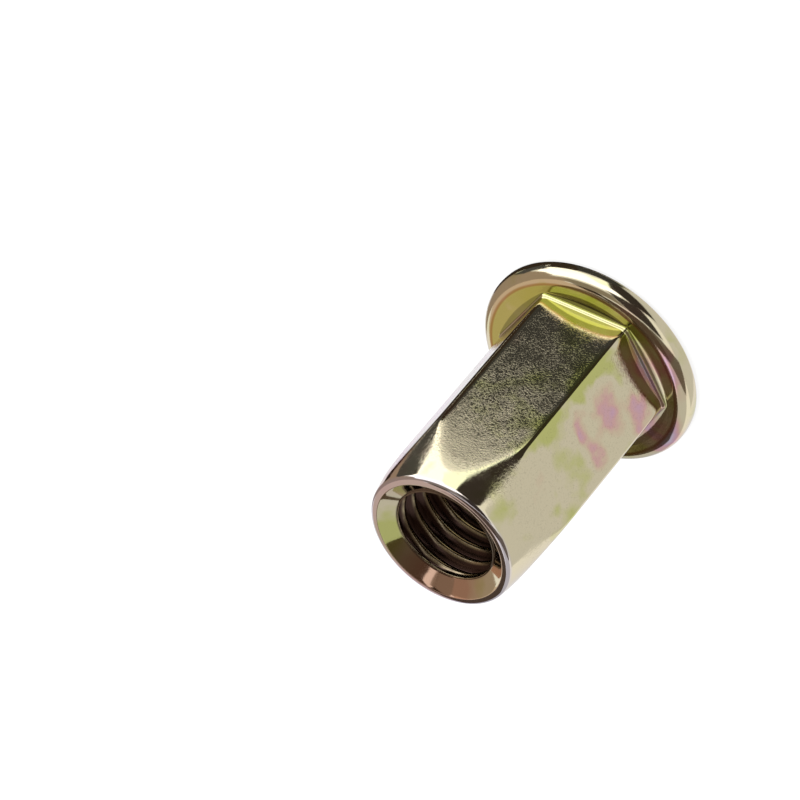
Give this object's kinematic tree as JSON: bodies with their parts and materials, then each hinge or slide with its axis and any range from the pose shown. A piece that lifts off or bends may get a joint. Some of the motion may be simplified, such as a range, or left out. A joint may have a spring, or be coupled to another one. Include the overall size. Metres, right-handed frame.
{
  "type": "rivet nut",
  "caption": "Flat-head rivet nut with a hexagonal shank: a round flange, a thin tube that collapses when the nut is set, and a threaded tapered nose.",
  "frame": {"origin": "centre of the flange's outer face, on the nut's axis", "axes": "+Z along the nut's axis, from the flange to the threaded end; +X toward one edge of the hexagonal shank"},
  "size_m": [0.019, 0.019, 0.024],
  "materials": {
    "passivated_steel": "zinc plated, with a yellow iridescent passivation"
  },
  "bodies": {
    "root": {"rivet_nut": "passivated_steel"}
  },
  "joints": []
}
